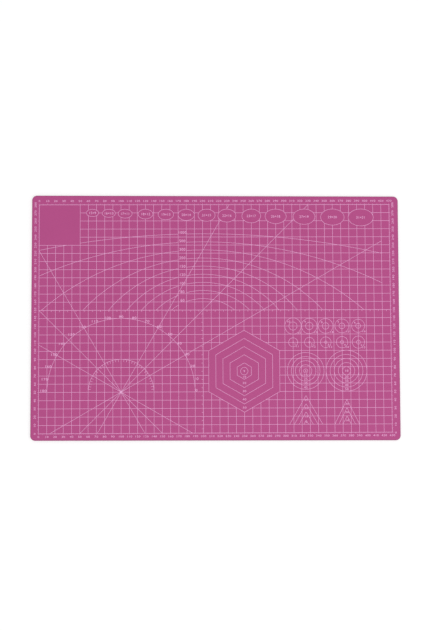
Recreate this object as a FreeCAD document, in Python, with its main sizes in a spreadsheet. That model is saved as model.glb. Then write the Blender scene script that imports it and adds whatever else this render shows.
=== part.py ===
"""Self-healing cutting mat, A3 size: five bonded sheets with a measuring print in white ink.

The mat's frame has +Z up and its origin in the middle of the underside. The print has a frame of its own: its
origin is the lower left corner of the ruled border, X runs along the mat and Y across it.
"""

import FreeCAD
import Part
import Sketcher
import math
import os

doc = FreeCAD.newDocument("cutting_mat")

# Driving dimensions, in millimetres and degrees

DIMENSIONS = {
    # Sheets, all cut by one die
    "mat_length": 450,
    "mat_width": 300,
    "corner_radius": 6,
    "face_thickness": 0.5,
    "cushion_thickness": 0.7,
    "core_thickness": 0.6,
    # Ink, and how the print lies on the mat
    "ink_film": 0.02,
    "line_width": 0.35,
    "print_margin": 10,
    "print_shift_x": -0.6,
    "print_shift_y": -0.8,
    "print_turn": 0.2,
    # Grid, and the blank panel in its upper left corner
    "grid_pitch": 10,
    "panel_cells": 5,
    # The grid ends this far from a figure that it stays out of
    "blank_gap": 0.05,
    # Ovals hang this far under the upper border
    "oval_drop": 5.5,
    # Hexagons, measured to their corners, stand this far above the lower border
    "hexagon_step": 10,
    "hexagon_x": 250,
    "hexagon_base": 25,
    # Triangles, by height, stand on one line of the grid, under the nested circles
    "triangle_step": 5,
    "triangle_base": 10,
    # Nested circles, by diameter, in two sets; the right set's middle is placed from the right border
    "circle_step": 5,
    "circle_gap": 2.5,
    "circle_base_gap": 5,
    "circle_right": 55,
    # Arcs of known radius stand on the middle line, with a gap for their numbers
    "arc_axis": 200,
    "arc_base": 150,
    "arc_first_rise": 14,
    "arc_rise_step": 10,
    "arc_label_start": 30,
    "arc_label_width": 10,
    # Protractors, placed by what is left between the larger one and the border
    "protractor_left": 10,
    "protractor_base": 50,
    "large_protractor_radius": 90,
    "small_protractor_radius": 40,
}

# Each oval's gap to its left neighbour, its width and its height
OVALS = [
    (7.5, 15, 9),
    (4.5, 16, 10),
    (3.5, 17, 11),
    (7.5, 18, 12),
    (6.5, 19, 13),
    (5.5, 20, 14),
    (4.5, 21, 15),
    (3.5, 22, 16),
    (7.5, 23, 17),
    (5.5, 26, 18),
    (8.5, 27, 19),
    (7, 29, 20),
    (5, 31, 21),
]

ARC_RADII = [60, 80, 100, 120, 150, 200, 300, 500, 1000]
RAY_ANGLES = [30, 45, 60, 120, 135, 150]

# How many hexagons there are, and the triangles' heights and the circles' diameters in steps
HEXAGONS = 5
TALL_TRIANGLES = (1, 3, 5, 7)
WIDE_TRIANGLES = (2, 4, 6)
ODD_CIRCLES = (5, 7, 9)
EVEN_CIRCLES = (6, 8, 10)

for number, (gap, width, height) in enumerate(OVALS, 1):
    DIMENSIONS[f"oval_{number}_gap"] = gap
    DIMENSIONS[f"oval_{number}_width"] = width
    DIMENSIONS[f"oval_{number}_height"] = height
for number, radius in enumerate(ARC_RADII, 1):
    DIMENSIONS[f"arc_{number}_radius"] = radius

sheet = doc.addObject("Spreadsheet::Sheet", "Sizes")
for row, (name, value) in enumerate(DIMENSIONS.items(), 1):
    sheet.set(f"A{row}", name)
    sheet.set(f"B{row}", str(value))
    sheet.setAlias(f"B{row}", name)
doc.recompute()

# Lengths that follow from the driving ones, as expressions

LINE = "Sizes.line_width"
HALF_LINE = f"({LINE} / 2)"
FILM = "Sizes.ink_film"
PITCH = "Sizes.grid_pitch"
COLUMNS = f"floor((Sizes.mat_length - 2 * Sizes.print_margin) / {PITCH})"
ROWS = f"floor((Sizes.mat_width - 2 * Sizes.print_margin) / {PITCH})"
GRID_LENGTH = f"({COLUMNS} * {PITCH})"
GRID_WIDTH = f"({ROWS} * {PITCH})"
LAST_COLUMN = f"({GRID_LENGTH} - {PITCH})"
PANEL = f"(Sizes.panel_cells * {PITCH})"


def bind(thing, expressions):
    """Tie properties of a document object to the sheet."""
    for path, expression in expressions.items():
        thing.setExpression(path, expression)
    return thing


# The five sheets

START, END, CENTRE = range(1, 4)
ORIGIN = (-1, START)


def ground_sketch(body, name):
    """A new sketch on the ground plane of a body's own origin."""
    sketch = body.newObject("Sketcher::SketchObject", name)
    ground = next(plane for plane in body.Origin.OriginFeatures if plane.Role == "XY_Plane")
    sketch.AttachmentSupport = [(ground, "")]
    sketch.MapMode = "FlatFace"
    return sketch


def drive(sketch, name, constraint, expression):
    """Add a named constraint that follows an expression."""
    sketch.renameConstraint(sketch.addConstraint(constraint), name)
    bind(sketch, {f"Constraints.{name}": expression})


def die_outline(body):
    """Sketch the die's outline in a body: a rectangle about the origin with round corners."""
    sketch = ground_sketch(body, f"{body.Name}_outline")
    radius = sheet.corner_radius
    half_x = sheet.mat_length / 2
    half_y = sheet.mat_width / 2
    flat_x = half_x - radius
    flat_y = half_y - radius
    sides = [
        ((-flat_x, -half_y), (flat_x, -half_y)),
        ((half_x, -flat_y), (half_x, flat_y)),
        ((flat_x, half_y), (-flat_x, half_y)),
        ((-half_x, flat_y), (-half_x, -flat_y)),
    ]
    corners = [(flat_x, -flat_y), (flat_x, flat_y), (-flat_x, flat_y), (-flat_x, -flat_y)]
    quarter = math.pi / 2
    up = FreeCAD.Vector(0, 0, 1)
    lines = []
    arcs = []
    for turn, ((start, end), corner) in enumerate(zip(sides, corners)):
        lines.append(sketch.addGeometry(Part.LineSegment(FreeCAD.Vector(*start), FreeCAD.Vector(*end))))
        circle_edge = Part.Circle(FreeCAD.Vector(*corner), up, radius)
        arcs.append(sketch.addGeometry(Part.ArcOfCircle(circle_edge, (turn - 1) * quarter, turn * quarter)))
    for line, arc, next_line in zip(lines, arcs, lines[1:] + lines[:1]):
        sketch.addConstraint(Sketcher.Constraint("Tangent", line, END, arc, START))
        sketch.addConstraint(Sketcher.Constraint("Tangent", arc, END, next_line, START))
    bottom, right, top, left = lines
    for side in (bottom, top):
        sketch.addConstraint(Sketcher.Constraint("Horizontal", side))
    for side in (right, left):
        sketch.addConstraint(Sketcher.Constraint("Vertical", side))
    lower_right, upper_right, upper_left, lower_left = arcs
    for corner in (upper_right, upper_left, lower_left):
        sketch.addConstraint(Sketcher.Constraint("Equal", lower_right, corner))
    sketch.addConstraint(Sketcher.Constraint("Symmetric", lower_right, CENTRE, upper_left, CENTRE, *ORIGIN))
    length = Sketcher.Constraint("DistanceX", left, START, right, START, sheet.mat_length)
    width = Sketcher.Constraint("DistanceY", bottom, START, top, START, sheet.mat_width)
    drive(sketch, "length", length, "Sizes.mat_length")
    drive(sketch, "width", width, "Sizes.mat_width")
    drive(sketch, "radius", Sketcher.Constraint("Radius", lower_right, radius), "Sizes.corner_radius")
    return sketch


def sheet_layer(label, thickness, floor):
    """One sheet of the laminate, lying at the height floor."""
    body = doc.addObject("PartDesign::Body", label)
    slab = body.newObject("PartDesign::Pad", f"{label}_slab")
    slab.Profile = die_outline(body)
    bind(slab, {"Length": thickness})
    return bind(body, {"Placement.Base.z": floor})


LAYERS = [
    ("bottom_face_sheet", "Sizes.face_thickness"),
    ("lower_cushion_sheet", "Sizes.cushion_thickness"),
    ("core_sheet", "Sizes.core_thickness"),
    ("upper_cushion_sheet", "Sizes.cushion_thickness"),
    ("top_face_sheet", "Sizes.face_thickness"),
]

nodes = []
mat_top = "0"
for label, thickness in LAYERS:
    nodes.append(sheet_layer(label, thickness, mat_top))
    mat_top = f"{mat_top} + {thickness}"

# Edges that the print is drawn with, in the print's own frame


def place(thing, x, y, z="0"):
    """Put a shape at a point of the print's frame."""
    return bind(thing, {"Placement.Base.x": x, "Placement.Base.y": y, "Placement.Base.z": z})


def circle(name, radius, x, y):
    """A round edge."""
    edge = doc.addObject("Part::Circle", name)
    bind(edge, {"Radius": radius})
    return place(edge, x, y)


def oval(name, width, height, x, y):
    """An oval edge, lying or standing."""
    edge = doc.addObject("Part::Ellipse", name)
    bind(
        edge,
        {
            "MajorRadius": f"max({width}; {height}) / 2",
            "MinorRadius": f"min({width}; {height}) / 2",
            "Placement.Rotation.Angle": f"{width} < {height} ? 90 : 0",
        },
    )
    return place(edge, x, y)


def hexagon(name, corner_radius, x, y):
    """A six-sided edge with a corner towards the upper border."""
    edge = doc.addObject("Part::RegularPolygon", name)
    edge.Polygon = 6
    bind(edge, {"Circumradius": corner_radius, "Placement.Rotation.Angle": "90"})
    return place(edge, x, y)


# Films of ink, and the shapes that they are cut with, which reach one film further up and down

CUT_FLOOR = f"-{FILM}"
CUT_HEIGHT = f"3 * {FILM}"


def group(name, shapes):
    """Shapes that stay apart, as one object."""
    result = doc.addObject("Part::Compound", name)
    result.Links = shapes
    return result


def fuse(name, shapes):
    """Shapes that run into each other, as one."""
    result = doc.addObject("Part::MultiFuse", name)
    result.Shapes = shapes
    return result


def cut(name, base, tool):
    """The base without what the tool covers."""
    result = doc.addObject("Part::Cut", name)
    result.Base = base
    result.Tool = tool
    return result


def common(name, base, tool):
    """The part of the base that the tool covers."""
    result = doc.addObject("Part::Common", name)
    result.Base = base
    result.Tool = tool
    return result


def slab_over(name, edges, floor, height):
    """Fill the space within the edges, an inner edge bounding a hole."""
    slab = doc.addObject("Part::Extrusion", name)
    slab.Base = group(f"{name}_edges", edges)
    slab.Dir = FreeCAD.Vector(0, 0, 1)
    slab.Solid = True
    return bind(slab, {"LengthFwd": height, "Placement.Base.z": floor})


def outline(name, edge, sizes, spread, x, y, floor="0"):
    """An ink line along an edge: the sizes are its middle's, and spread is what half of its width adds to them."""
    edges = []
    for side, sign in (("outer", "+"), ("inner", "-")):
        spread_sizes = [f"({size} {sign} {spread})" for size in sizes]
        edges.append(edge(f"{name}_{side}", *spread_sizes, x, y))
    return slab_over(name, edges, floor, FILM)


def ring(name, radius, x, y, floor="0"):
    """A round ink line."""
    return outline(name, circle, [radius], HALF_LINE, x, y, floor)


def plug(name, edge, sizes, spread, x, y):
    """A cutting shape that fills an edge, larger than its sizes by the spread."""
    spread_sizes = [f"({size} + {spread})" for size in sizes]
    return slab_over(name, [edge(f"{name}_edge", *spread_sizes, x, y)], CUT_FLOOR, CUT_HEIGHT)


def window(name, left, low, right, high):
    """A cutting shape over a rectangle of the print."""
    block = doc.addObject("Part::Box", name)
    bind(block, {"Length": f"{right} - ({left})", "Width": f"{high} - ({low})", "Height": CUT_HEIGHT})
    return place(block, left, low, CUT_FLOOR)


def stroke(name, from_x, from_y, to_x, to_y):
    """A straight ink line between two points."""
    run_x = f"(({to_x}) - ({from_x}))"
    run_y = f"(({to_y}) - ({from_y}))"
    length = f"sqrt({run_x} * {run_x} + {run_y} * {run_y})"
    angle = f"atan2({run_y}; {run_x})"
    bar = doc.addObject("Part::Box", name)
    bind(bar, {"Length": length, "Width": LINE, "Height": FILM, "Placement.Rotation.Angle": angle})
    half = f"{HALF_LINE} / {length}"
    return place(bar, f"{from_x} + {half} * {run_y}", f"{from_y} - {half} * {run_x}")


def ink(label, shapes, level):
    """A finished figure of the print, laid on the mat; level counts the films that it lies on."""
    figure = group(label, shapes)
    corner_x = f"(Sizes.print_shift_x - {GRID_LENGTH} / 2)"
    corner_y = f"(Sizes.print_shift_y - {GRID_WIDTH} / 2)"
    turn = "Sizes.print_turn * 1 deg"
    bind(figure, {"Placement.Rotation.Angle": "Sizes.print_turn"})
    nodes.append(figure)
    return place(
        figure,
        f"cos({turn}) * {corner_x} - sin({turn}) * {corner_y}",
        f"sin({turn}) * {corner_x} + cos({turn}) * {corner_y}",
        f"{mat_top} + {level} * {FILM}",
    )


# Ovals hang in a row beside the panel, as many as the border has room for

grid_columns = math.floor((sheet.mat_length - 2 * sheet.print_margin) / sheet.grid_pitch)
room = (grid_columns - sheet.panel_cells) * sheet.grid_pitch
oval_blank = f"({LINE} + 2 * Sizes.blank_gap)"
oval_lines = []
oval_plugs = []
right_end = PANEL
for number in range(1, len(OVALS) + 1):
    room -= sheet.get(f"oval_{number}_gap") + sheet.get(f"oval_{number}_width")
    if room < 0:
        break
    gap, width, height = (f"Sizes.oval_{number}_{size}" for size in ("gap", "width", "height"))
    x = f"{right_end} + {gap} + {width} / 2"
    y = f"{GRID_WIDTH} - Sizes.oval_drop - {height} / 2"
    oval_lines.append(outline(f"oval_{number}", oval, [width, height], LINE, x, y))
    oval_plugs.append(plug(f"oval_blank_{number}", oval, [width, height], oval_blank, x, y))
    right_end = f"{right_end} + {gap} + {width}"

# Hexagons, one inside the other

corner_spread = f"{HALF_LINE} / cos(30 deg)"
corner_blank = f"({HALF_LINE} + Sizes.blank_gap) / cos(30 deg)"
largest_hexagon = f"{HEXAGONS} * Sizes.hexagon_step"
hexagon_place = ("Sizes.hexagon_x", f"Sizes.hexagon_base + {largest_hexagon}")
hexagon_lines = []
for number in range(1, HEXAGONS + 1):
    size = f"{number} * Sizes.hexagon_step"
    hexagon_lines.append(outline(f"hexagon_{number}", hexagon, [size], corner_spread, *hexagon_place))
hexagon_plug = plug("hexagon_blank", hexagon, [largest_hexagon], corner_blank, *hexagon_place)
ink("hexagon_templates", hexagon_lines, level=0)

# The grid stays out of the hexagons, the ovals and the panel, whose sides are lines of the grid

figure_blanks = fuse("figure_blanks", [hexagon_plug, *oval_plugs])
panel_low = f"{GRID_WIDTH} - {PANEL} + {HALF_LINE}"
panel_right = f"{PANEL} - {HALF_LINE}"
panel_top = f"{GRID_WIDTH} - {HALF_LINE}"
lengthwise_panel = window("lengthwise_panel", f"-{LINE}", panel_low, panel_right, panel_top)
crosswise_panel = window("crosswise_panel", HALF_LINE, panel_low, panel_right, f"{GRID_WIDTH} + {LINE}")


def grid_lines(name, along, across, line_length, spread, spaces):
    """A body of parallel lines along one axis: the first is drawn, and a linear pattern repeats it."""
    body = doc.addObject("PartDesign::Body", name)
    sketch = ground_sketch(body, f"{name}_line")
    half = sheet.line_width / 2
    corners = [FreeCAD.Vector(x, y) for x, y in ((-half, -half), (half, -half), (half, half), (-half, half))]
    sides = []
    for start, end in zip(corners, corners[1:] + corners[:1]):
        sides.append(sketch.addGeometry(Part.LineSegment(start, end)))
    for side, next_side in zip(sides, sides[1:] + sides[:1]):
        sketch.addConstraint(Sketcher.Constraint("Coincident", side, END, next_side, START))
    low, right, high, left = sides
    for side in (low, high):
        sketch.addConstraint(Sketcher.Constraint("Horizontal", side))
    for side in (right, left):
        sketch.addConstraint(Sketcher.Constraint("Vertical", side))
    near_corner = (low, START)
    far_corner = (right, END)
    for axis in (along, across):
        offset = Sketcher.Constraint(f"Distance{axis}", *near_corner, *ORIGIN, half)
        drive(sketch, f"offset_{axis}", offset, HALF_LINE)
    length = Sketcher.Constraint(f"Distance{along}", *near_corner, *far_corner, sheet.line_width)
    width = Sketcher.Constraint(f"Distance{across}", *near_corner, *far_corner, sheet.line_width)
    drive(sketch, "length", length, f"{line_length} + {LINE}")
    drive(sketch, "width", width, LINE)
    film = body.newObject("PartDesign::Pad", f"{name}_film")
    film.Profile = sketch
    bind(film, {"Length": FILM})
    doc.recompute()
    pattern = body.newObject("PartDesign::LinearPattern", f"{name}_rows")
    pattern.Originals = [film]
    pattern.Direction = (sketch, ["V_Axis" if across == "Y" else "H_Axis"])
    bind(pattern, {"Length": spread, "Occurrences": f"{spaces} + 1"})
    body.Tip = pattern
    return body


lengthwise = grid_lines("lengthwise_lines", "X", "Y", GRID_LENGTH, GRID_WIDTH, ROWS)
crosswise = grid_lines("crosswise_lines", "Y", "X", GRID_WIDTH, GRID_LENGTH, COLUMNS)
for label, lines, panel, level in (
    ("grid_lines_lengthwise", lengthwise, lengthwise_panel, 0),
    ("grid_lines_crosswise", crosswise, crosswise_panel, 1),
):
    beside_figures = cut(f"{label}_beside_figures", lines, figure_blanks)
    ink(label, [cut(f"{label}_beside_panel", beside_figures, panel)], level)

# Triangles: the left set is as steep as an equilateral one, the right set as high as its base is long

triangle_sets = [("tall", TALL_TRIANGLES, "sqrt(3)"), ("wide", WIDE_TRIANGLES, "2")]
triangle_reach = " + ".join(f"{max(steps)} * Sizes.triangle_step / {slope}" for _, steps, slope in triangle_sets)
circle_sets = [("left", ODD_CIRCLES), ("right", EVEN_CIRCLES)]
circle_reach = " + ".join(f"{max(steps)} * Sizes.circle_step / 2" for _, steps in circle_sets)
right_x = f"({GRID_LENGTH} - Sizes.circle_right)"
left_x = f"({right_x} - max({circle_reach}; {triangle_reach}) - Sizes.circle_gap)"
set_places = [left_x, right_x]
triangles = []
for (side, heights, slope), x in zip(triangle_sets, set_places):
    for steps in heights:
        rise = f"{steps} * Sizes.triangle_step"
        apex = f"Sizes.triangle_base + {rise}"
        legs = []
        for hand, sign in (("left", "-"), ("right", "+")):
            foot_x = f"{x} {sign} {rise} / {slope}"
            legs.append(stroke(f"{side}_{steps}_{hand}_leg", foot_x, "Sizes.triangle_base", x, apex))
        triangles.append(fuse(f"{side}_triangle_{steps}", legs))
ink("triangle_templates", triangles, level=2)

# Nested circles over the triangles: the left set has the odd steps of diameter and the right the even ones

over_grid = f"2 * {FILM}"
largest_radius = f"{max(EVEN_CIRCLES)} * Sizes.circle_step / 2"
triangle_top = f"Sizes.triangle_base + {max(TALL_TRIANGLES)} * Sizes.triangle_step"
circle_y = f"({triangle_top} + Sizes.circle_base_gap + {largest_radius})"
circle_lines = []
for (side, diameters), x in zip(circle_sets, set_places):
    for steps in diameters:
        radius = f"{steps} * Sizes.circle_step / 2"
        circle_lines.append(ring(f"{side}_circle_{steps}", radius, x, circle_y, over_grid))
ink("round_templates", [*oval_lines, *circle_lines], level=0)

# Protractors: two half circles about one centre

protractor_x = "(Sizes.protractor_left + Sizes.large_protractor_radius)"
protractor_y = "Sizes.protractor_base"
upper_half = window("upper_half", "0", protractor_y, GRID_LENGTH, GRID_WIDTH)
half_rings = []
for size in ("large", "small"):
    whole = ring(f"{size}_round", f"Sizes.{size}_protractor_radius", protractor_x, protractor_y)
    half_rings.append(common(f"{size}_half_round", whole, upper_half))
ink("protractors", half_rings, level=2)

# Arcs and rays end together at the right: at the last column, or before it where the lowest ray meets the border

lowest_ray_end = f"({protractor_x} + ({GRID_WIDTH} - {protractor_y}) / tan({min(RAY_ANGLES)} * 1 deg))"
right_stop = f"min({LAST_COLUMN}; {lowest_ray_end})"

# Arcs of known radius, cut off at the middle line

arc_window = window("arc_window", "0", "Sizes.arc_base", right_stop, GRID_WIDTH)
label_left = "(Sizes.arc_axis - Sizes.arc_label_start)"
label_gap = window("label_gap", label_left, "Sizes.arc_base", f"{label_left} + Sizes.arc_label_width", GRID_WIDTH)
arc_blanks = fuse("arc_blanks", [figure_blanks, crosswise_panel, label_gap])
arcs = []
for number in range(1, len(ARC_RADII) + 1):
    radius = f"Sizes.arc_{number}_radius"
    apex = f"Sizes.arc_base + Sizes.arc_first_rise + {number - 1} * Sizes.arc_rise_step"
    whole = ring(f"arc_circle_{number}", radius, "Sizes.arc_axis", f"{apex} - {radius}")
    arcs.append(cut(f"arc_{number}", common(f"arc_above_base_{number}", whole, arc_window), arc_blanks))
ink("radius_arcs", arcs, level=3)

# Rays run through the protractors' centre to the border


def spoke(name, angle, from_radius, to_radius):
    """A straight line that points away from the protractors' centre."""
    ends = []
    for radius in (from_radius, to_radius):
        ends.append(f"{protractor_x} + ({radius}) * cos({angle} * 1 deg)")
        ends.append(f"{protractor_y} + ({radius}) * sin({angle} * 1 deg)")
    return stroke(name, *ends)


far = f"({GRID_LENGTH} + {GRID_WIDTH})"
ray_star = fuse("ray_star", [spoke(f"ray_{angle}", angle, f"-{far}", far) for angle in RAY_ANGLES])
ray_window = window("ray_window", "0", "0", right_stop, GRID_WIDTH)
ray_blanks = fuse("ray_blanks", [figure_blanks, crosswise_panel])
rays = cut("rays_open", common("rays_in_border", ray_star, ray_window), ray_blanks)
ink("angle_rays", [rays], level=4)

# Recompute, test every object, and write one file for each node

doc.recompute()
for thing in doc.Objects:
    if "Invalid" in thing.State or "Error" in thing.State:
        raise RuntimeError(f"{thing.Label} did not compute: {thing.State}")
for node in nodes:
    if node.Shape.isNull() or not node.Shape.isValid() or not node.Shape.Solids:
        raise RuntimeError(f"{node.Label} has no valid solid")

os.makedirs("parts", exist_ok=True)
for node in nodes:
    node.Shape.exportStep(f"parts/{node.Label}.step")
    box = node.Shape.BoundBox
    print(
        f"{node.Label}: {len(node.Shape.Solids)} solids, {node.Shape.Volume:.3f} mm3,"
        f" z {box.ZMin:.3f} to {box.ZMax:.3f}, {box.XLength:.2f} x {box.YLength:.2f}"
    )
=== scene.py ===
# %% [markdown]
# # A self-healing cutting mat
#
# The object is a flat stack of soft and stiff plastic sheets, bonded and cut by one die, with a measuring
# print in white ink on its upper face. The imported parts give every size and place. This lesson gives them
# their looks: finer sheets with a cut edge, the small figures, marks and numbers of the print, the finishes,
# the light and the camera.

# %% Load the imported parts
import math

import bmesh
import bpy
from mathutils import Matrix, Vector


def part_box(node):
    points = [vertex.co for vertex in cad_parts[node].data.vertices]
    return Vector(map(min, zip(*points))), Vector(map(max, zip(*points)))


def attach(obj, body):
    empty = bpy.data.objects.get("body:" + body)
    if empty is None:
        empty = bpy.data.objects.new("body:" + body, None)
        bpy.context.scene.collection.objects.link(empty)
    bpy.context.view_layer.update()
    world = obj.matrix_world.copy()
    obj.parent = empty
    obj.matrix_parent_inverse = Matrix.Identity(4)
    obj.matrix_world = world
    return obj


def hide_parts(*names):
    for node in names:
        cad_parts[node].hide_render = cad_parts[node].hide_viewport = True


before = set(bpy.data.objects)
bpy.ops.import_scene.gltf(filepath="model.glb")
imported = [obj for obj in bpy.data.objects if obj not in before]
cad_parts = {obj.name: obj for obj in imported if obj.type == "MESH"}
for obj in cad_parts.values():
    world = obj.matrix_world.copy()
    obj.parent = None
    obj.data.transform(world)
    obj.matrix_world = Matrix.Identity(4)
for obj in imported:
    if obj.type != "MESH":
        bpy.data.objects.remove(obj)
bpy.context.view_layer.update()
scene = bpy.context.scene
MM = 0.001


print("nodes:", sorted(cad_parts))

# %% [markdown]
# ## One way to make every piece
#
# All pieces are meshes written in the frame's own metres. They could be built from Blender's primitives and
# modifiers, but a sheet or a mark is easier to describe by its points. So a bmesh collects points and faces,
# and one helper turns it into an object that rides on the mat and, where it stands for a imported part,
# hides it.

# %% Helper for new pieces
SMOOTH_LIMIT = math.radians(35)


def new_piece(name, shape, replaced=None):
    """Turn a bmesh into a piece of the mat."""
    bmesh.ops.recalc_face_normals(shape, faces=shape.faces)
    mesh = bpy.data.meshes.new(name)
    shape.to_mesh(mesh)
    shape.free()
    mesh.shade_smooth()
    mesh.set_sharp_from_angle(angle=SMOOTH_LIMIT)
    piece = bpy.data.objects.new(name, mesh)
    scene.collection.objects.link(piece)
    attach(piece, "root")
    if replaced:
        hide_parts(replaced)
    print(f"{name}: {len(mesh.vertices)} points, {len(mesh.polygons)} faces")
    return piece


print(f"edges of over {math.degrees(SMOOTH_LIMIT):.0f} degrees stay sharp")

# %% [markdown]
# ## The five sheets
#
# The mat is a sandwich: a face sheet, a soft cushion, a stiff pale core, another cushion and the lower face
# sheet. The die cuts them in one stroke, so they share an outline, but each ply springs back by its own
# little amount. A plain extrusion would show one flat wall. Here loops of points follow the outline, one loop
# for each step of the edge's profile, so that the rims are rounded, the plies part by a hair and the core
# lies a little deeper.

# %% Measure the die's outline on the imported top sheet
ON_SIDE = 0.001 * MM


def node_points(node):
    """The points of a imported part."""
    return [vertex.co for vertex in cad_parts[node].data.vertices]


_, sheet_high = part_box("top_face_sheet")
side_points = [point for point in node_points("top_face_sheet") if sheet_high.y - point.y < ON_SIDE]
CORNER_RADIUS = sheet_high.x - max(point.x for point in side_points)
print(f"corner radius {CORNER_RADIUS / MM:.2f} mm")

# %% Loops round the die's outline
CORNER_STEPS = 16
SIDE_STEP = 6 * MM


def outline_points():
    """Points of the outline, each with its outward direction, going round once."""
    flat_x = sheet_high.x - CORNER_RADIUS
    flat_y = sheet_high.y - CORNER_RADIUS
    centres = [(flat_x, -flat_y), (flat_x, flat_y), (-flat_x, flat_y), (-flat_x, -flat_y)]
    points = []
    for turn, (x, y) in enumerate(centres):
        corner = []
        for step in range(CORNER_STEPS + 1):
            angle = math.pi / 2 * (turn - 1 + step / CORNER_STEPS)
            outward = Vector((math.cos(angle), math.sin(angle), 0))
            corner.append((Vector((x, y, 0)) + CORNER_RADIUS * outward, outward))
        if points:
            points += side_between(points[-1], corner[0])
        points += corner
    points += side_between(points[-1], points[0])
    return points


def side_between(start, end):
    """Points along a straight side, without its ends."""
    (first, outward), (last, _) = start, end
    count = max(1, round((last - first).length / SIDE_STEP))
    return [(first.lerp(last, step / count), outward) for step in range(1, count)]


outline = outline_points()
print(len(outline), "points on one loop")

# %% Profiles of the cut edge
RIM_RADIUS = 0.25 * MM
RIM_STEPS = 4
SEAM_RADIUS = 0.06 * MM
CORE_DEPTH = 0.07 * MM


def rounded_end(radius):
    """Inset and height along a quarter round that ends a wall, from the wall's side to its end."""
    angles = [math.pi / 2 * step / RIM_STEPS for step in range(RIM_STEPS + 1)]
    return [(radius * (1 - math.cos(angle)), radius * math.sin(angle)) for angle in angles]


def edge_profile(thickness, lower_radius, upper_radius, depth):
    """Inset and height of each loop of a sheet's edge, from its lower to its upper face."""
    profile = []
    for inset, rise in reversed(rounded_end(lower_radius)):
        profile.append((depth + inset, lower_radius - rise))
    for inset, rise in rounded_end(upper_radius):
        profile.append((depth + inset, thickness - upper_radius + rise))
    return profile


print(2 * (RIM_STEPS + 1), "loops up the edge of each sheet")

# %% Waves of the cut edge
WAVE_HEIGHT = 0.025 * MM
WAVE_COUNTS = (23, 41, 97)
# Turns the waves of each ply against those of the ply below it
PLY_SHIFT = 1.7


def spring_back(share, order):
    """How far a ply's cut edge draws in, at a share from 0 to 1 of the way round."""
    waves = [math.sin(2 * math.pi * count * share + PLY_SHIFT * order * count) for count in WAVE_COUNTS]
    return WAVE_HEIGHT * (1 + sum(waves) / len(waves))


print(f"edges draw in by {2 * WAVE_HEIGHT / MM:.2f} mm at most")

# %% Build the sheets
# Part, slot, radius of its lower and of its upper edge, and how deep its edge lies
SHEETS = [
    ("bottom_face_sheet", "face_pvc", RIM_RADIUS, SEAM_RADIUS, 0),
    ("lower_cushion_sheet", "cushion_pvc", SEAM_RADIUS, SEAM_RADIUS, 0),
    ("core_sheet", "core_pvc", SEAM_RADIUS, SEAM_RADIUS, CORE_DEPTH),
    ("upper_cushion_sheet", "cushion_pvc", SEAM_RADIUS, SEAM_RADIUS, 0),
    ("top_face_sheet", "face_pvc", SEAM_RADIUS, RIM_RADIUS, 0),
]


def add_strip(shape, first, second):
    """Join two closed loops of points by a strip of faces."""
    for number in range(len(first)):
        after = (number + 1) % len(first)
        shape.faces.new((first[number], first[after], second[after], second[number]))


def sheet_mesh(order, low, thickness, lower_radius, upper_radius, depth):
    """A closed sheet: loops up its edge, and a flat face at each end."""
    shape = bmesh.new()
    loops = []
    for inset, height in edge_profile(thickness, lower_radius, upper_radius, depth):
        loop = []
        for number, (point, outward) in enumerate(outline):
            pulled = inset + spring_back(number / len(outline), order)
            place = point - pulled * outward
            loop.append(shape.verts.new((place.x, place.y, low + height)))
        loops.append(loop)
    for lower, upper in zip(loops, loops[1:]):
        add_strip(shape, lower, upper)
    shape.faces.new(loops[0])
    shape.faces.new(loops[-1])
    return shape


sheet_pieces = {}
for order, (node, slot, lower_radius, upper_radius, depth) in enumerate(SHEETS):
    low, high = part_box(node)
    shape = sheet_mesh(order, low.z, high.z - low.z, lower_radius, upper_radius, depth)
    sheet_pieces[node] = new_piece(f"{node}_cut", shape, node)

# %% [markdown]
# ## The print's own frame
#
# The print was laid on the mat a little askew, as screen prints are. Its rulers count from the lower left
# corner of the ruled border, so all its figures are placed in a frame that starts there. Its turn could be
# typed in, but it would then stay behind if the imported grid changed. So it is measured: two outer corners of
# the border give the turn, and a third the width.

# %% Find the frame of the print
LINE = 0.35 * MM
PITCH = 10 * MM


def outermost(node, x, y):
    """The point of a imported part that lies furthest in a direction."""
    return max(node_points(node), key=lambda point: point.x * x + point.y * y)


lower_left = outermost("grid_lines_lengthwise", -1, -1)
lower_right = outermost("grid_lines_lengthwise", 1, -1)
upper_right = outermost("grid_lines_lengthwise", 1, 1)
along = lower_right - lower_left
print_turn = math.atan2(along.y, along.x)
print_corner = Vector((lower_left.x, lower_left.y, sheet_high.z))
half_line = Matrix.Translation((LINE / 2, LINE / 2, 0))
PRINT = Matrix.Translation(print_corner) @ Matrix.Rotation(print_turn, 4, "Z") @ half_line
columns = round((along.length - LINE) / PITCH)
rows = round(((upper_right - lower_right).length - LINE) / PITCH)
GRID_LENGTH = columns * PITCH
GRID_WIDTH = rows * PITCH
print(f"print turned by {math.degrees(print_turn):.2f} degrees, {columns} columns and {rows} rows")

# %% [markdown]
# ## Bars and rings of ink
#
# What is left of the print is fine: scale marks, small circles and numbers. Flat planes would do for a
# picture, but a film of ink has a thickness. So a mark is a flat bar, a circle is a band between two loops,
# and both are closed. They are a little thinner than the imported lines, so that no two faces lie in one plane
# where they cross.

# %% Helpers for ink
INK_HEIGHT = 0.015 * MM
CIRCLE_STEPS = 72


def add_film(shape, loops):
    """Raise one loop of points, or the band between two, to the height of the ink."""
    levels = []
    for height in (0, INK_HEIGHT):
        lift = Vector((0, 0, height))
        levels.append([[shape.verts.new(PRINT @ (point + lift)) for point in loop] for loop in loops])
    for low, high in zip(*levels):
        add_strip(shape, low, high)
    for level in levels:
        if len(level) == 1:
            shape.faces.new(level[0])
        else:
            add_strip(shape, *level)


def add_bar(shape, start, end, width):
    """Add a straight film of ink between two points of the print."""
    start = Vector((*start, 0))
    end = Vector((*end, 0))
    run = (end - start).normalized()
    side = Vector((-run.y, run.x, 0)) * width / 2
    add_film(shape, [[start - side, end - side, end + side, start + side]])


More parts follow.
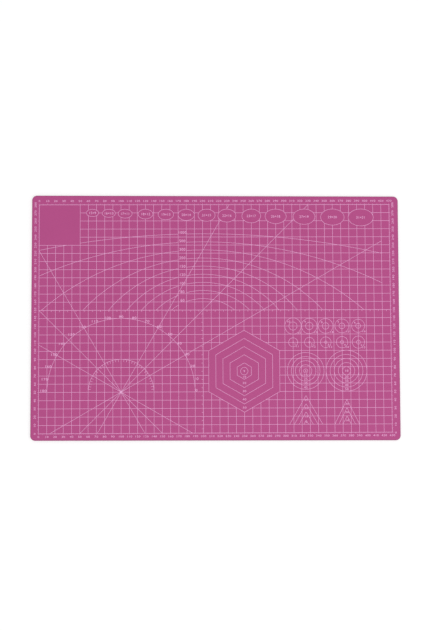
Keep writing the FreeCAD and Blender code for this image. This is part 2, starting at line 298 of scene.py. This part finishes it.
def add_ring(shape, x, y, radius, width):
    """Add a round film of ink about a point of the print."""
    angles = [2 * math.pi * step / CIRCLE_STEPS for step in range(CIRCLE_STEPS)]
    rays = [(math.cos(angle), math.sin(angle)) for angle in angles]
    edges = (radius - width / 2, radius + width / 2)
    add_film(shape, [[Vector((x + edge * cos, y + edge * sin, 0)) for cos, sin in rays] for edge in edges])


print(f"ink {INK_HEIGHT / MM:.3f} mm high, circles of {CIRCLE_STEPS} steps")

# %% [markdown]
# ## Scale marks
#
# The border is a ruler on all four sides: a short mark at each millimetre, longer ones at five and ten. Two
# lines of the grid, one along the mat and one across it, carry marks at each millimetre and at five. The
# smaller protractor has a mark at every fifth degree. An array modifier would repeat one mark, but some are
# longer than others. So they are loops over counts, and the place and size of a mark follow from its number.

# %% Marks along the border
BROAD_MARK = 0.2 * MM
FINE_MARK = 0.12 * MM
# Length and width of the marks at every tenth, fifth and single millimetre
BORDER_MARKS = {10: (1.6 * MM, BROAD_MARK), 5: (1.3 * MM, BROAD_MARK), 1: (0.8 * MM, FINE_MARK)}


def add_ruler(shape, start, along, outward, count, marks):
    """Add one mark for each millimetre of a ruler, of the size that its number asks for."""
    for number in range(count + 1):
        length, width = next(size for step, size in marks.items() if number % step == 0)
        foot = Vector(start) + number * MM * Vector(along)
        add_bar(shape, foot, foot + length * Vector(outward), width)


millimetres_long = round(GRID_LENGTH / MM)
millimetres_wide = round(GRID_WIDTH / MM)
border = bmesh.new()
for y, outward in ((0, -1), (GRID_WIDTH, 1)):
    add_ruler(border, (0, y), (1, 0), (0, outward), millimetres_long, BORDER_MARKS)
for x, outward in ((0, -1), (GRID_LENGTH, 1)):
    add_ruler(border, (x, 0), (0, 1), (outward, 0), millimetres_wide, BORDER_MARKS)
ink_pieces = [new_piece("border_marks", border)]

# %% Marks on the two ruled lines inside the border
RULED_LINE_Y = 150 * MM
RULED_LINE_X = 200 * MM
RULED_MARKS = {5: (2.0 * MM, LINE), 1: (0.9 * MM, FINE_MARK)}

ruled = bmesh.new()
add_ruler(ruled, (0, RULED_LINE_Y), (1, 0), (0, -1), millimetres_long, RULED_MARKS)
add_ruler(ruled, (RULED_LINE_X, 0), (0, 1), (-1, 0), round(RULED_LINE_Y / MM), RULED_MARKS)
ink_pieces.append(new_piece("ruled_line_marks", ruled))

# %% Marks of the smaller protractor
PROTRACTOR_CENTRE = Vector((100 * MM, 50 * MM))
SMALL_PROTRACTOR_RADIUS = 40 * MM
DEGREE_MARK = 3 * MM
DEGREE_STEP = 5
HALF_TURN = 180

degrees = bmesh.new()
for number in range(1, HALF_TURN // DEGREE_STEP):
    angle = math.radians(number * DEGREE_STEP)
    ray = Vector((math.cos(angle), math.sin(angle)))
    outer_end = PROTRACTOR_CENTRE + SMALL_PROTRACTOR_RADIUS * ray
    inner_end = PROTRACTOR_CENTRE + (SMALL_PROTRACTOR_RADIUS - DEGREE_MARK) * ray
    add_bar(degrees, inner_end, outer_end, LINE)
ink_pieces.append(new_piece("degree_marks", degrees))

# %% [markdown]
# ## Small circles
#
# Twenty single circles, from 1 to 20 mm, stand in two rows, each small one inside a large one. Below them the
# two nested sets start with circles of 5 to 20 mm, and the hexagons have a round eye. A torus would be too
# thick for ink, so each circle is a flat band.

# %% Draw the small circles
NESTED_Y = 75 * MM
NESTED_X = {"odd": 325 * MM, "even": 375 * MM}
NESTED_SMALL = {"odd": (5, 15), "even": (10, 20)}
HEXAGON_X = 250 * MM
HEXAGON_Y = 75 * MM
EYE_DIAMETER = 9
SINGLE_COLUMNS = 5
# Two rows, with a small and a large circle at each place
SINGLE_CIRCLES = 4 * SINGLE_COLUMNS
SINGLE_LEFT = 310 * MM
SINGLE_SPACING = 20 * MM
LOWER_ROW_Y = 110 * MM


def single_circle(diameter):
    """The middle of a single circle: the lower row counts up from the left, the upper row from the right."""
    band, column = divmod(diameter - 1, SINGLE_COLUMNS)
    upper = band % 2
    place = SINGLE_COLUMNS - 1 - column if upper else column
    return SINGLE_LEFT + place * SINGLE_SPACING, LOWER_ROW_Y + upper * SINGLE_SPACING


circles = bmesh.new()
for diameter in range(1, SINGLE_CIRCLES + 1):
    add_ring(circles, *single_circle(diameter), diameter * MM / 2, LINE)
for side, diameters in NESTED_SMALL.items():
    for diameter in diameters:
        add_ring(circles, NESTED_X[side], NESTED_Y, diameter * MM / 2, LINE)
add_ring(circles, HEXAGON_X, HEXAGON_Y, EYE_DIAMETER * MM / 2, LINE)
ink_pieces.append(new_piece("small_circles", circles))

# %% [markdown]
# ## Numbers
#
# Plain numbers name the millimetres, degrees and sizes. A text object for each would make hundreds of pieces,
# so every digit is turned into a mesh once, at a height of one, and stamped where a number needs it. Blender
# leaves open seams and thin slivers in such a mesh, so the seams are joined and the flat faces are split
# anew. Most of the print's digits are wider than the built-in letters, so they are stretched sideways. Those
# of the arcs, the ovals and the larger nested circles aren't, so their stamps are made narrow again.

# %% Helpers for the digits
CURVE_STEPS = 3
SEAM = 0.0005
# A stamp is one unit thick and, once scaled, one unit high
HALF_STAMP = 0.5


def text_mesh(text):
    """The closed mesh of a short text, one unit thick."""
    curve = bpy.data.curves.new("stamp", "FONT")
    curve.body = text
    curve.resolution_u = CURVE_STEPS
    curve.extrude = HALF_STAMP
    holder = bpy.data.objects.new("stamp", curve)
    mesh = bpy.data.meshes.new_from_object(holder)
    bpy.data.objects.remove(holder)
    bpy.data.curves.remove(curve)
    shape = bmesh.new()
    shape.from_mesh(mesh)
    bmesh.ops.remove_doubles(shape, verts=shape.verts, dist=SEAM)
    flat = {face for face in shape.faces if len({vertex.co.z > 0 for vertex in face.verts}) == 1}
    inside = [edge for edge in shape.edges if flat.issuperset(edge.link_faces)]
    bmesh.ops.beautify_fill(shape, faces=list(flat), edges=inside, method="AREA")
    shape.to_mesh(mesh)
    shape.free()
    return mesh


def extent(mesh, axis):
    """Lowest and highest coordinate of a mesh along an axis."""
    values = [vertex.co[axis] for vertex in mesh.vertices]
    return min(values), max(values)


print(f"seams of up to {SEAM} of a unit are joined")

# %% Cut the digits
DIGITS = "0123456789×"
DIGIT_WIDTH = 1.24

stamps = {digit: text_mesh(digit) for digit in DIGITS}
low_y, high_y = extent(stamps["0"], 1)
DIGIT_SCALE = 1 / (high_y - low_y)
pair = text_mesh("00")
ADVANCE = (extent(pair, 0)[1] - extent(stamps["0"], 0)[1]) * DIGIT_SCALE * DIGIT_WIDTH
lift = Matrix.Translation((0, -low_y, HALF_STAMP))
for mesh in stamps.values():
    start, end = extent(mesh, 0)
    centre = Matrix.Translation((-(start + end) / 2, 0, 0))
    mesh.transform(Matrix.Diagonal((DIGIT_SCALE * DIGIT_WIDTH, DIGIT_SCALE, 1, 1)) @ lift @ centre)
print(f"{len(stamps)} stamps, {ADVANCE:.3f} apart at a height of 1")

# %% Stamp numbers
LETTER_FIT = 1.1
DIGIT_STEP = ADVANCE * LETTER_FIT


def add_number(shape, text, x, y, height, turn=0.0, stretch=1.0):
    """Stamp a number about a point of the print; a stretch under 1 makes it narrower."""
    text = str(text)
    place = PRINT @ Matrix.Translation((x, y, 0)) @ Matrix.Rotation(turn, 4, "Z")
    for number, digit in enumerate(text):
        along = (number - (len(text) - 1) / 2) * DIGIT_STEP
        size = Matrix.Diagonal((height * stretch, height, INK_HEIGHT, 1))
        stamp = stamps[digit].copy()
        stamp.transform(place @ size @ Matrix.Translation((along, -HALF_STAMP, 0)))
        shape.from_mesh(stamp)
        bpy.data.meshes.remove(stamp)


print(f"digits of a number {DIGIT_STEP:.3f} apart")

# %% Numbers of the rulers
RULER_DIGIT = 2.4 * MM
RULER_STEP = round(PITCH / MM)
LOWER_NUMBERS_Y = -3.8 * MM
UPPER_NUMBERS_Y = GRID_WIDTH + 4.75 * MM
LEFT_NUMBERS_X = -4.6 * MM
RIGHT_NUMBERS_X = GRID_LENGTH + 4.3 * MM
RIGHT_NUMBERS_DROP = 0.6 * MM
UPRIGHT = math.pi / 2

rulers = bmesh.new()
for number in range(columns + 1):
    for y in (LOWER_NUMBERS_Y, UPPER_NUMBERS_Y):
        add_number(rulers, RULER_STEP * number, number * PITCH, y, RULER_DIGIT)
for number in range(rows + 1):
    y = number * PITCH
    add_number(rulers, RULER_STEP * number, LEFT_NUMBERS_X, y, RULER_DIGIT, UPRIGHT)
    add_number(rulers, RULER_STEP * number, RIGHT_NUMBERS_X, y - RIGHT_NUMBERS_DROP, RULER_DIGIT, UPRIGHT)
ink_pieces.append(new_piece("ruler_numbers", rulers))

# %% Numbers of the arcs and the large protractor
ARC_RADII = (60, 80, 100, 120, 150, 200, 300, 500, 1000)
ARC_NUMBER_X = 175 * MM
FIRST_ARC_NUMBER_Y = 162 * MM
ARC_NUMBER_STEP = 10.45 * MM
ARC_DIGIT = 3.4 * MM
NARROW = 0.8
LARGE_PROTRACTOR_RADIUS = 90 * MM
ANGLE_DIGIT = 3.0 * MM
ANGLE_NUMBER_GAP = 0.5 * MM
ANGLE_STEP = 10

scales = bmesh.new()
for number, radius in enumerate(ARC_RADII):
    y = FIRST_ARC_NUMBER_Y + number * ARC_NUMBER_STEP
    add_number(scales, radius, ARC_NUMBER_X, y, ARC_DIGIT, stretch=NARROW)
angle_rise = ANGLE_DIGIT / 2 + ANGLE_NUMBER_GAP
for angle in range(0, HALF_TURN + ANGLE_STEP, ANGLE_STEP):
    turn = math.radians(angle)
    ray = Vector((math.cos(turn), math.sin(turn)))
    # A number lies outside the half circle by half its own size
    half_width = len(str(angle)) * DIGIT_STEP * ANGLE_DIGIT / 2
    # The first and the last number stand on the base line
    rise = angle_rise if angle % HALF_TURN == 0 else angle_rise * ray.y
    place = PROTRACTOR_CENTRE + LARGE_PROTRACTOR_RADIUS * ray + Vector((half_width * ray.x, rise))
    add_number(scales, angle, place.x, place.y, ANGLE_DIGIT)
ink_pieces.append(new_piece("scale_numbers", scales))

# %% Numbers of the hexagons, circles and triangles
HEXAGON_STEP = 10 * MM
HEXAGONS = 5
NESTED_LARGE = {"odd": (15, 25, 35, 45), "even": (20, 30, 40, 50)}
FIGURE_DIGIT = 2.5 * MM
HEXAGON_NUMBER_RISE = 5.6 * MM
NESTED_DIGIT = 3.0 * MM
NESTED_NUMBER_RISE = 2.5 * MM
TRIANGLE_BASE = 10 * MM
TRIANGLE_DIGIT = 2.3 * MM
TRIANGLES = {"odd": (5, 15, 25, 35), "even": (10, 20, 30)}
TRIANGLE_NUMBER_DROP = 5.5 * MM
TRIANGLE_NUMBER_LOWEST = 3 * MM

figures = bmesh.new()
add_number(figures, EYE_DIAMETER, HEXAGON_X, HEXAGON_Y, FIGURE_DIGIT)
under_eye = HEXAGON_Y - EYE_DIAMETER * MM / 2 - FIGURE_DIGIT
for number in range(1, HEXAGONS + 1):
    reach = number * HEXAGON_STEP
    y = min(under_eye, HEXAGON_Y - reach + HEXAGON_NUMBER_RISE)
    add_number(figures, round(reach / MM), HEXAGON_X, y, FIGURE_DIGIT)
for side, diameters in NESTED_LARGE.items():
    smallest = NESTED_SMALL[side][0]
    add_number(figures, smallest, NESTED_X[side], NESTED_Y, FIGURE_DIGIT)
    for diameter in diameters:
        y = NESTED_Y - diameter * MM / 2 + NESTED_NUMBER_RISE
        add_number(figures, diameter, NESTED_X[side], y, NESTED_DIGIT, stretch=NARROW)
for side, heights in TRIANGLES.items():
    for height in heights:
        rise = max(height * MM - TRIANGLE_NUMBER_DROP, TRIANGLE_NUMBER_LOWEST)
        add_number(figures, height, NESTED_X[side], TRIANGLE_BASE + rise, TRIANGLE_DIGIT)
ink_pieces.append(new_piece("figure_numbers", figures))

# %% Numbers beside the single circles and in the ovals
SMALL_DIGIT = 2.35 * MM
INNER_NUMBER_GAP = 2.7 * MM
OUTER_NUMBER_GAP = 1.6 * MM
UP_LEFT = Vector((-1, 1)).normalized()
DOWN_RIGHT = Vector((1, -1)).normalized()
# Place along the print, width and height of each oval in millimetres
OVALS = [
    (65, 15, 9),
    (85, 16, 10),
    (105, 17, 11),
    (130, 18, 12),
    (155, 19, 13),
    (180, 20, 14),
    (205, 21, 15),
    (230, 22, 16),
    (260, 23, 17),
    (290, 26, 18),
    (325, 27, 19),
    (360, 29, 20),
    (395, 31, 21),
]
OVAL_TOP = GRID_WIDTH - 5.5 * MM
OVAL_DIGIT = 3.0 * MM

sizes = bmesh.new()
for diameter in range(1, SINGLE_CIRCLES + 1):
    inner = diameter <= SINGLE_CIRCLES // 2
    in_upper_row = diameter > SINGLE_COLUMNS
    toward = UP_LEFT if inner and in_upper_row else DOWN_RIGHT
    gap = INNER_NUMBER_GAP if inner else OUTER_NUMBER_GAP
    offset = (diameter * MM / 2 + gap) * toward
    x, y = single_circle(diameter)
    add_number(sizes, diameter, x + offset.x, y + offset.y, SMALL_DIGIT)
for x, width, height in OVALS:
    y = OVAL_TOP - height * MM / 2
    add_number(sizes, f"{width}×{height}", x * MM, y, OVAL_DIGIT, stretch=NARROW)
ink_pieces.append(new_piece("size_numbers", sizes))

# %% [markdown]
# ## Shader sums in plain Python
#
# A finish is a small graph of nodes. Writing each Math node by hand hides the idea, so a socket is wrapped in
# a class that knows plus, minus and times: a sum of wrapped sockets adds its own Math nodes. Any other node
# comes from one method, which sets its settings first and then the values or links of its sockets.

# %% A socket that can be added and multiplied


class Signal:
    """An output socket of a shader graph that takes part in Python sums."""

    def __init__(self, socket):
        self.socket = socket

    @staticmethod
    def node(tree, kind, settings, inputs, output=0):
        """Add a node: its settings, then the values or links of its sockets. Returns one of its outputs."""
        made = tree.nodes.new(kind)
        for name, value in settings.items():
            setattr(made, name, value)
        for name, value in inputs.items():
            if isinstance(value, Signal):
                tree.links.new(value.socket, made.inputs[name])
            else:
                made.inputs[name].default_value = value
        return Signal(made.outputs[output])

    def sum(self, operation, other, turned=False):
        """Add a Math node in the socket's own graph, with the other value first if turned."""
        tree = self.socket.id_data
        first, second = (other, self) if turned else (self, other)
        return Signal.node(tree, "ShaderNodeMath", {"operation": operation}, {0: first, 1: second})

    def __add__(self, other):
        return self.sum("ADD", other)

    def __radd__(self, other):
        return self.sum("ADD", other, turned=True)

    def __sub__(self, other):
        return self.sum("SUBTRACT", other)

    def __rsub__(self, other):
        return self.sum("SUBTRACT", other, turned=True)

    def __mul__(self, other):
        return self.sum("MULTIPLY", other)

    def __rmul__(self, other):
        return self.sum("MULTIPLY", other, turned=True)

    def least(self, other):
        """The smaller of two values."""
        return self.sum("MINIMUM", other)

    def size(self):
        """A value without its sign."""
        return self.sum("ABSOLUTE", 0.0)


print("made the class", Signal.__name__)

# %% Nodes that the finishes share


def place_on(tree):
    """The point of the object in its own frame, in metres."""
    return Signal.node(tree, "ShaderNodeTexCoord", {}, {}, "Object")


def noise(tree, feature, detail=2.0):
    """Smooth noise from 0 to 1 with features of a size in metres."""
    inputs = {"Vector": place_on(tree), "Scale": 1 / feature, "Detail": detail}
    return Signal.node(tree, "ShaderNodeTexNoise", {}, inputs)


def vector_sum(tree, operation, inputs, output="Vector"):
    """A Vector Math node, for colours and places."""
    return Signal.node(tree, "ShaderNodeVectorMath", {"operation": operation}, inputs, output)


def tone(tree, color, brightness):
    """A colour made lighter or darker by a value."""
    return vector_sum(tree, "SCALE", {0: color, "Scale": brightness})


def mix(tree, factor, first, second):
    """The first colour where the factor is 0, the second where it is 1."""
    # A Mix node has sockets for every kind of data: its colours go in at 6 and 7 and come out at 2
    inputs = {0: factor, 6: first, 7: second}
    return Signal.node(tree, "ShaderNodeMix", {"data_type": "RGBA"}, inputs, 2)


def bump(tree, height, depth, strength):
    """A normal that follows a height from 0 to 1, over a depth in metres."""
    inputs = {"Strength": strength, "Distance": depth, "Height": height}
    return Signal.node(tree, "ShaderNodeBump", {}, inputs, "Normal")


print("made the nodes for places, noise, tones, mixes and bumps")

# %% Materials that the nodes feed


def surface(name, fixed):
    """A new material with fixed values on its shader. Returns it, its graph and its shader's inputs."""
    material = bpy.data.materials.new(name)
    material.use_nodes = True
    shader = material.node_tree.nodes["Principled BSDF"]
    for socket, value in fixed.items():
        shader.inputs[socket].default_value = value
    return material, material.node_tree, shader.inputs


def feed(tree, socket, signal):
    """Link a signal to a shader's input."""
    tree.links.new(signal.socket, socket)


print("made the helpers for materials")

# %% [markdown]
# ## Finishes of the sheets
#
# The face is soft PVC, rolled with a fine pebble grain that keeps it matt, so it needs a grain in colour,
# gloss and bump, and a slow mottle from the rolling. A picture of PVC would tie the grain to one size, so it
# comes from noise in real millimetres. A narrow rim along the outline is painted a little darker, as painted
# shade of the rounded edge: this shade follows the distance to the outline. On the cut edge itself the knife
# has torn the grain away: there the colour turns paler and rougher, which the surface's own direction tells.

# %% Finish of the two face sheets
FACE_COLOR = (0.446, 0.0592, 0.2277)
CUT_COLOR = (0.50, 0.12, 0.30)
FACE_SPECULAR = 0.4
GRAIN = 0.55 * MM
GRAIN_DETAIL = 3.0
GRAIN_DEPTH = 0.06 * MM
GRAIN_STRENGTH = 0.8
MOTTLE = 45 * MM
# Brightness without mottle and grain, and what each can add
FACE_DARKEST = 0.89
MOTTLE_TONE = 0.06
GRAIN_TONE = 0.16
# Roughness without grain and cut, and what each can add
FACE_ROUGHNESS = 0.5
GRAIN_ROUGHNESS = 0.12
CUT_ROUGHNESS = 0.15
# Width of the band of painted shade along the outline, and how much darker it paints the outermost edge
SHADED_RIM_WIDTH = 1.6 * MM
RIM_SHADE = 0.2


def way_in(tree):
    """How far a point of the face lies inside the outline: 0 on it, 1 at the width of the painted rim shade.
    """
    # No point of the mat is as high as this corner's one metre, so heights don't count
    corner = Vector((sheet_high.x - CORNER_RADIUS, sheet_high.y - CORNER_RADIUS, 1))
    folded = vector_sum(tree, "ABSOLUTE", {0: place_on(tree)})
    beyond = vector_sum(tree, "SUBTRACT", {0: folded, 1: corner})
    kept = vector_sum(tree, "MAXIMUM", {0: beyond, 1: (0, 0, 0)})
    reach = vector_sum(tree, "LENGTH", {0: kept}, "Value")
    return ((CORNER_RADIUS - reach) * (1 / SHADED_RIM_WIDTH)).least(1.0)


def face_finish():
    """Pebbled matt PVC with painted shade along its rim and a torn, paler cut edge."""
    material, tree, inputs = surface("face_pvc_grain", {"Specular IOR Level": FACE_SPECULAR})
    grain = noise(tree, GRAIN, GRAIN_DETAIL)
    mottle = noise(tree, MOTTLE)
    texture = FACE_DARKEST + MOTTLE_TONE * mottle + GRAIN_TONE * grain
    # Painted shade: the face is painted darker towards its outline, by up to RIM_SHADE at the very edge
    shade = 1 - RIM_SHADE + RIM_SHADE * way_in(tree)
    brightness = texture * shade
    normal = Signal.node(tree, "ShaderNodeNewGeometry", {}, {}, "Normal")
    upward = Signal.node(tree, "ShaderNodeSeparateXYZ", {}, {0: normal}, "Z")
    cut = 1 - upward.size()
    color = mix(tree, cut, (*FACE_COLOR, 1), (*CUT_COLOR, 1))
    feed(tree, inputs["Base Color"], tone(tree, color, brightness))
    feed(tree, inputs["Roughness"], FACE_ROUGHNESS + GRAIN_ROUGHNESS * grain + CUT_ROUGHNESS * cut)
    feed(tree, inputs["Normal"], bump(tree, grain, GRAIN_DEPTH, GRAIN_STRENGTH))
    return material


face = face_finish()
print(f"{face.name}: {len(face.node_tree.nodes)} nodes")

# %% Finish of the cushions and the core
CUSHION_COLOR = (0.36, 0.045, 0.18)
CUSHION_ROUGHNESS = 0.6
CORE_COLOR = (0.62, 0.40, 0.50)
CORE_ROUGHNESS = 0.55
PLY_SPECULAR = 0.3
DRAG = 1.2 * MM
DRAG_DETAIL = 3.0
DRAG_DEPTH = 0.03 * MM
DRAG_STRENGTH = 0.5
FIBRE = 0.25 * MM
# Brightness without drag marks and fibres, and what each can add
PLY_DARKEST = 0.86
DRAG_TONE = 0.2
FIBRE_TONE = 0.08
FIBRE_ROUGHNESS = 0.15


def edge_finish(name, color, roughness):
    """A ply that shows only where the die has cut it: dull, with drag marks."""
    material, tree, inputs = surface(name, {"Specular IOR Level": PLY_SPECULAR})
    drag = noise(tree, DRAG, DRAG_DETAIL)
    fibre = noise(tree, FIBRE)
    brightness = PLY_DARKEST + DRAG_TONE * drag + FIBRE_TONE * fibre
    feed(tree, inputs["Base Color"], tone(tree, color, brightness))
    feed(tree, inputs["Roughness"], roughness + FIBRE_ROUGHNESS * fibre)
    feed(tree, inputs["Normal"], bump(tree, drag * fibre, DRAG_DEPTH, DRAG_STRENGTH))
    return material


cushion = edge_finish("cushion_pvc_cut", CUSHION_COLOR, CUSHION_ROUGHNESS)
core = edge_finish("core_pvc_cut", CORE_COLOR, CORE_ROUGHNESS)
for material in (cushion, core):
    print(f"{material.name}: {len(material.node_tree.nodes)} nodes")

# %% Give the sheets their finishes
finishes = {"face_pvc": face, "cushion_pvc": cushion, "core_pvc": core}
for node, slot, *_ in SHEETS:
    sheet_pieces[node].data.materials.append(finishes[slot])
    print(f"{node}: {finishes[slot].name}")

# %% [markdown]
# ## Ink
#
# The ink is white, but thin, so the magenta below tints it, more where the screen left less of it. Making the
# film see-through would darken every crossing of two films, so the tint is painted: a slow patchiness and the
# fine dots of the screen's mesh.

# %% Finish of the ink
INK_COLOR = (0.87, 0.45, 0.74)
INK_SPECULAR = 0.3
INK_PATCH = 7 * MM
SCREEN_MESH = 0.3 * MM
# Brightness without patches and dots, and what each can add
INK_DARKEST = 0.9
PATCH_TONE = 0.12
DOT_TONE = 0.08
INK_ROUGHNESS = 0.45
DOT_ROUGHNESS = 0.15
DOT_DEPTH = 0.005 * MM
DOT_STRENGTH = 0.3


def ink_finish():
    """Thin white ink, tinted by the face under it."""
    material, tree, inputs = surface("white_ink_film", {"Specular IOR Level": INK_SPECULAR})
    patch = noise(tree, INK_PATCH)
    dots = noise(tree, SCREEN_MESH)
    brightness = INK_DARKEST + PATCH_TONE * patch + DOT_TONE * dots
    feed(tree, inputs["Base Color"], tone(tree, INK_COLOR, brightness))
    feed(tree, inputs["Roughness"], INK_ROUGHNESS + DOT_ROUGHNESS * dots)
    feed(tree, inputs["Normal"], bump(tree, dots, DOT_DEPTH, DOT_STRENGTH))
    return material


ink = ink_finish()
ink_nodes = [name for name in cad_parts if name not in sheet_pieces]
for piece in [*ink_pieces, *(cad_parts[name] for name in ink_nodes)]:
    piece.data.materials.clear()
    piece.data.materials.append(ink)
print(f"ink on {len(ink_pieces)} new pieces and {len(ink_nodes)} packed parts")

# %% [markdown]
# ## Floor and light
#
# The mat lies on a plain white table under soft light from all round. Lamps alone would throw hard shadows,
# so a dome of even light gives colours as they are written, and one broad lamp near the reader's right hand
# makes that side a little brighter. The floor is topped up to white where the camera sees it, and still takes
# the mat's soft shadow.

# %% Lay the floor
FLOOR_HALF = 6.0
FLOOR_DROP = 0.05 * MM
FLOOR_COLOR = (0.45, 0.45, 0.45, 1)
FLOOR_ROUGHNESS = 0.9
FLOOR_TOP_UP = 0.59


def background_rays(tree):
    """One for rays that look at the background: from the camera, off gloss or through glass."""
    path = tree.nodes.new("ShaderNodeLightPath")
    seen = Signal(path.outputs["Is Camera Ray"]) + Signal(path.outputs["Is Glossy Ray"])
    return seen + Signal(path.outputs["Is Transmission Ray"])


floor_shape = bmesh.new()
bmesh.ops.create_grid(floor_shape, x_segments=1, y_segments=1, size=FLOOR_HALF)
floor_mesh = bpy.data.meshes.new("floor")
floor_shape.to_mesh(floor_mesh)
floor_shape.free()
floor = bpy.data.objects.new("floor", floor_mesh)
floor.location.z = -FLOOR_DROP
scene.collection.objects.link(floor)
table_values = {
    "Base Color": FLOOR_COLOR,
    "Roughness": FLOOR_ROUGHNESS,
    "Specular IOR Level": 0,
    "Emission Strength": 1,
}
table_top, table_tree, table_inputs = surface("table_top", table_values)
feed(table_tree, table_inputs["Emission Color"], FLOOR_TOP_UP * background_rays(table_tree))
floor_mesh.materials.append(table_top)
print("floor laid", 2 * FLOOR_HALF, "m wide")

# %% Light the mat
DOME_STRENGTH = 0.87
# Lamp: places and size in metres, power in watts
LAMP_PLACE = Vector((0.5, -0.45, 1.0))
LAMP_AIM = Vector((0.1, -0.05, 0))
LAMP_SIZE = 0.8
LAMP_POWER = 2.2

world = bpy.data.worlds.new("studio")
world.use_nodes = True
scene.world = world
dome = world.node_tree.nodes["Background"]
dome.inputs["Color"].default_value = (1, 1, 1, 1)
seen = background_rays(world.node_tree)
feed(world.node_tree, dome.inputs["Strength"], DOME_STRENGTH + (1 - DOME_STRENGTH) * seen)

lamp_data = bpy.data.lights.new("broad_lamp", "AREA")
lamp_data.size = LAMP_SIZE
lamp_data.energy = LAMP_POWER
lamp = bpy.data.objects.new("broad_lamp", lamp_data)
lamp.location = LAMP_PLACE
lamp.rotation_euler = (LAMP_AIM - LAMP_PLACE).to_track_quat("-Z", "Y").to_euler()
lamp.visible_camera = False
scene.collection.objects.link(lamp)
scene.view_settings.view_transform = "Standard"
print("dome", DOME_STRENGTH, "and lamp", LAMP_POWER, "W")

# %% [markdown]
# ## Camera
#
# The picture was taken from almost straight above with a long lens. A camera could be aimed by eye, but the
# print would then drift off towards the corners. So the place, tilt and lens were found by fitting the
# printed grid to where it lies in the picture, which is 421 by 631 points.

# %% Place the camera
# Place in metres, tilt in degrees, height and focal length in points of the picture, sensor in millimetres
CAMERA_PLACE = (-0.0585, -0.1708, 1.9197)
CAMERA_TILT = (5.164, -1.546, -0.1106)
PICTURE_HEIGHT = 631
FOCAL_POINTS = 1575.1
SENSOR = 36.0

camera_data = bpy.data.cameras.new("camera")
camera_data.sensor_width = SENSOR
camera_data.lens = FOCAL_POINTS / PICTURE_HEIGHT * SENSOR
camera = bpy.data.objects.new("camera", camera_data)
camera.location = CAMERA_PLACE
camera.rotation_euler = [math.radians(angle) for angle in CAMERA_TILT]
scene.collection.objects.link(camera)
scene.camera = camera
print(f"lens {camera_data.lens:.2f} mm")
